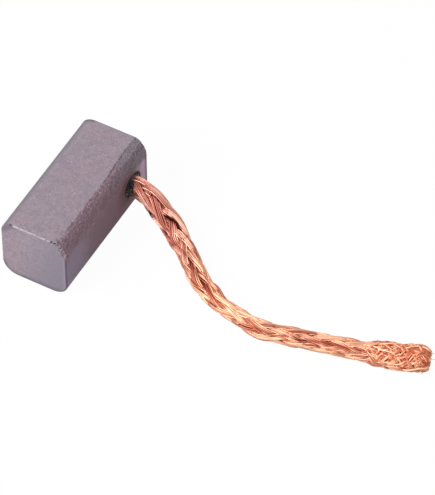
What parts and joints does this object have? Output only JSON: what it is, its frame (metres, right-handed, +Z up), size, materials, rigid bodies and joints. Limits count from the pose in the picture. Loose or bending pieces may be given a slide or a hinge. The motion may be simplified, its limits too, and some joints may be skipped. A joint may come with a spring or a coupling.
{
  "type": "carbon brush",
  "caption": "Rectangular copper-graphite motor brush with rounded long edges and a bare braided copper pigtail tamped into its side.",
  "frame": {"origin": "middle of the block's flat underside, with the pigtail left out", "axes": "+Z up from the underside, +Y along the block from its contact face to its spring end, +X across the block towards the side that the pigtail leaves"},
  "size_m": [0.0472, 0.0174, 0.008],
  "materials": {
    "copper_graphite": "matte",
    "tamping_compound": "gloss",
    "bare_copper": "satin"
  },
  "bodies": {
    "root": {"brush_block": "copper_graphite", "tamping_plug": "tamping_compound", "pigtail": "bare_copper"}
  },
  "joints": []
}
